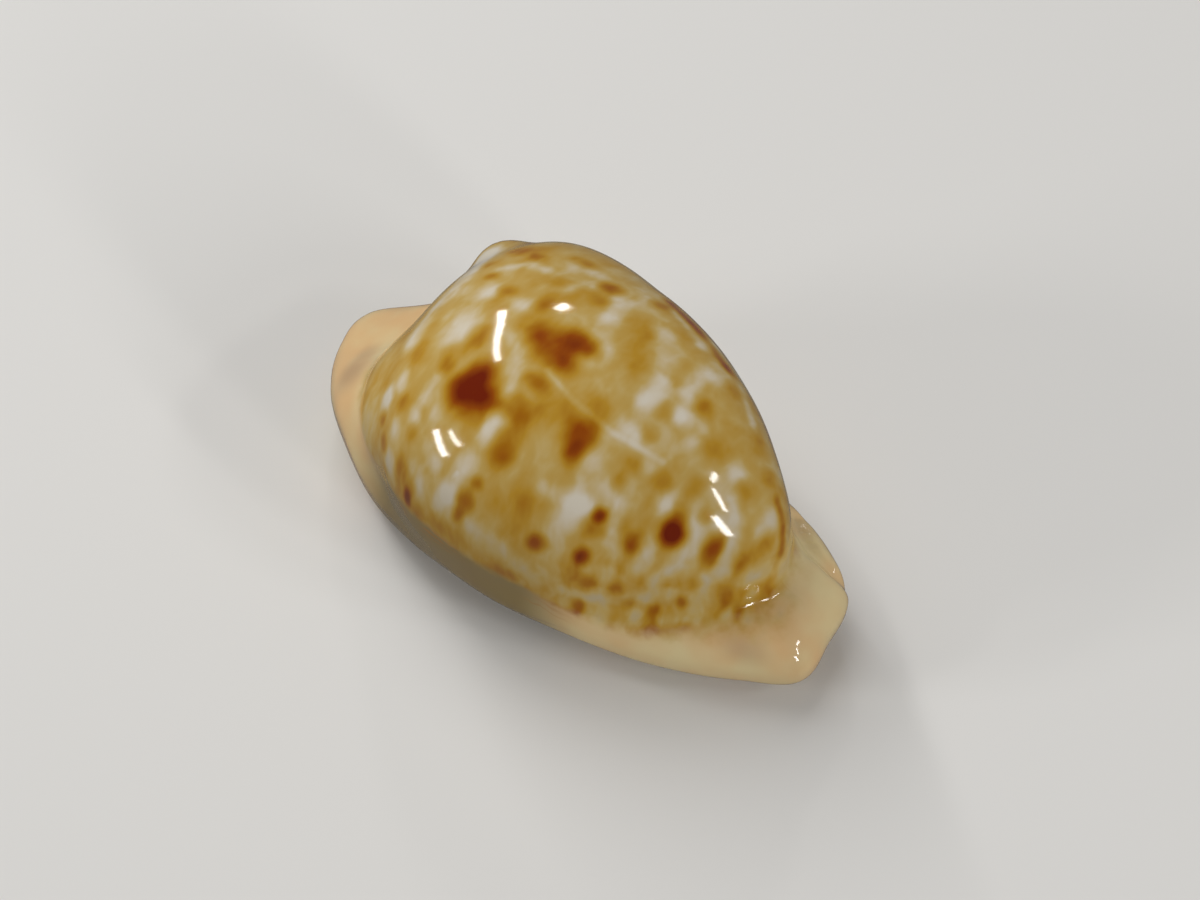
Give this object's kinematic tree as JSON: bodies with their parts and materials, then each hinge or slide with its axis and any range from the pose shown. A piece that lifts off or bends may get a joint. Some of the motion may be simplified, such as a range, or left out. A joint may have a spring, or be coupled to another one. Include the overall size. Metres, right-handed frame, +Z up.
{
  "type": "cowrie shell",
  "caption": "Hollow cowrie shell with a domed glossy back, a thick callus margin drawn out at both ends, and toothed lips along a curved slit in its flat base.",
  "frame": {"origin": "middle of the bounding box at its lowest plane, the plane that the shell rests on", "axes": "+X towards the front (anterior) end along the shell's length, +Y towards the columellar side, -Y towards the outer lip, +Z up through the dome"},
  "size_m": [0.0272, 0.0154, 0.0123],
  "materials": {
    "shell": "naturally polished enamel, glossy all over, cream and ochre with dark brown blotches on the back and a peach-cream callus"
  },
  "bodies": {
    "root": {"cowrie_shell": "shell"}
  },
  "joints": []
}
